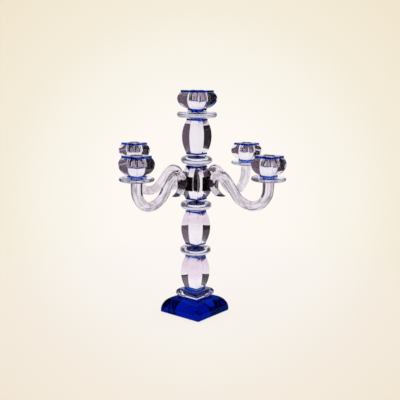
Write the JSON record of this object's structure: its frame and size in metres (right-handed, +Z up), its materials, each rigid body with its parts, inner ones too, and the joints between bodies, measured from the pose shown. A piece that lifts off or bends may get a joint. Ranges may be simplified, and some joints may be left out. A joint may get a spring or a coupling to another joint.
{
  "type": "crystal candelabrum",
  "caption": "Column candelabrum of stacked square crystal barrels on a domed blue foot, with scrolled glass arms around a taller central candle cup.",
  "frame": {"origin": "centre of the foot's underside, on the table", "axes": "+Z up the column; the square barrels' faces look along X and Y; the arms run along +X (right), +Y (back), -X (left) and -Y (front)"},
  "size_m": [0.3984, 0.3984, 0.4408],
  "materials": {
    "clear_crystal": "polished clear lead crystal",
    "blue_crystal": "polished cobalt-blue crystal",
    "liner_metal": "bright plated spun metal",
    "socket_metal": "dark plated metal with fine upright grinding marks"
  },
  "bodies": {
    "column": {"base_block": "blue_crystal", "base_collar": "clear_crystal", "lower_bead": "clear_crystal", "lower_bead_bottom_plate": "blue_crystal", "lower_bead_top_plate": "blue_crystal", "middle_bead": "clear_crystal", "middle_bead_bottom_plate": "blue_crystal", "middle_bead_top_plate": "blue_crystal", "hub_block": "clear_crystal", "hub_block_bottom_plate": "blue_crystal", "hub_block_top_plate": "blue_crystal", "upper_bead": "clear_crystal", "upper_bead_bottom_plate": "blue_crystal", "upper_bead_top_plate": "blue_crystal", "lower_disc": "clear_crystal", "middle_disc": "clear_crystal", "upper_disc": "clear_crystal", "top_drip_pan": "clear_crystal", "top_cup_foot_plate": "blue_crystal", "top_cup": "clear_crystal", "top_cup_rim_plate": "blue_crystal", "right_socket": "socket_metal", "back_socket": "socket_metal", "left_socket": "socket_metal", "front_socket": "socket_metal"},
    "liner_top": {"top_candle_liner": "liner_metal"},
    "arm_right": {"right_saddle": "socket_metal", "right_arm": "clear_crystal", "right_drip_pan": "clear_crystal", "right_cup_foot_plate": "blue_crystal", "right_cup": "clear_crystal", "right_cup_rim_plate": "blue_crystal"},
    "liner_right": {"right_candle_liner": "liner_metal"},
    "arm_back": {"back_saddle": "socket_metal", "back_arm": "clear_crystal", "back_drip_pan": "clear_crystal", "back_cup_foot_plate": "blue_crystal", "back_cup": "clear_crystal", "back_cup_rim_plate": "blue_crystal"},
    "liner_back": {"back_candle_liner": "liner_metal"},
    "arm_left": {"left_saddle": "socket_metal", "left_arm": "clear_crystal", "left_drip_pan": "clear_crystal", "left_cup_foot_plate": "blue_crystal", "left_cup": "clear_crystal", "left_cup_rim_plate": "blue_crystal"},
    "liner_left": {"left_candle_liner": "liner_metal"},
    "arm_front": {"front_saddle": "socket_metal", "front_arm": "clear_crystal", "front_drip_pan": "clear_crystal", "front_cup_foot_plate": "blue_crystal", "front_cup": "clear_crystal", "front_cup_rim_plate": "blue_crystal"},
    "liner_front": {"front_candle_liner": "liner_metal"}
  },
  "joints": [
    {"name": "liner_top_lift", "type": "slide", "parent": "column", "child": "liner_top", "axis": [0, 0, 1], "range_m": [0, 0.03]},
    {"name": "arm_right_lift", "type": "slide", "parent": "column", "child": "arm_right", "axis": [0, 0, 1], "range_m": [0, 0.022]},
    {"name": "liner_right_lift", "type": "slide", "parent": "arm_right", "child": "liner_right", "axis": [0, 0, 1], "range_m": [0, 0.03]},
    {"name": "arm_back_lift", "type": "slide", "parent": "column", "child": "arm_back", "axis": [0, 0, 1], "range_m": [0, 0.022]},
    {"name": "liner_back_lift", "type": "slide", "parent": "arm_back", "child": "liner_back", "axis": [0, 0, 1], "range_m": [0, 0.03]},
    {"name": "arm_left_lift", "type": "slide", "parent": "column", "child": "arm_left", "axis": [0, 0, 1], "range_m": [0, 0.022]},
    {"name": "liner_left_lift", "type": "slide", "parent": "arm_left", "child": "liner_left", "axis": [0, 0, 1], "range_m": [0, 0.03]},
    {"name": "arm_front_lift", "type": "slide", "parent": "column", "child": "arm_front", "axis": [0, 0, 1], "range_m": [0, 0.022]},
    {"name": "liner_front_lift", "type": "slide", "parent": "arm_front", "child": "liner_front", "axis": [0, 0, 1], "range_m": [0, 0.03]}
  ]
}
